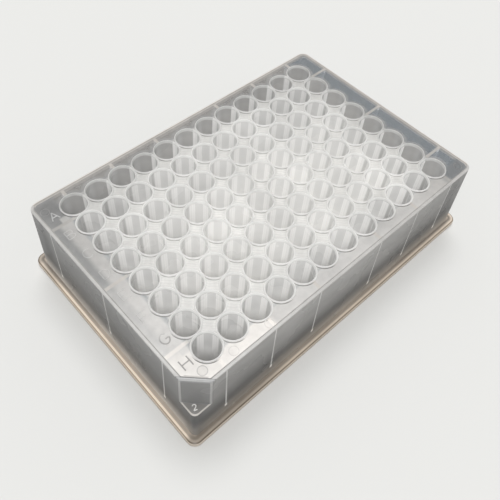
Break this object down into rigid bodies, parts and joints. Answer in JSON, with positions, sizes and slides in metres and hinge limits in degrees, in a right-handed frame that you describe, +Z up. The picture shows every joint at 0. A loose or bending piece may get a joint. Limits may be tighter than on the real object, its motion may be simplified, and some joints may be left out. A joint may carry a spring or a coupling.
{
  "type": "well plate",
  "caption": "Deep microplate with a grid of round-bottomed wells in a skirted tray, with a flanged foot, braced walls and one cut corner; holds small liquid samples",
  "frame": {"origin": "centre of the footprint, on the surface that the plate stands on", "axes": "+X along the long side from column 1 to column 12, +Y along the short side from row H to row A, +Z up out of the wells"},
  "size_m": [0.1278, 0.0854, 0.0307],
  "materials": {
    "well_plate": "natural translucent polypropylene, satin"
  },
  "bodies": {
    "root": {"well_plate": "well_plate"}
  },
  "joints": []
}
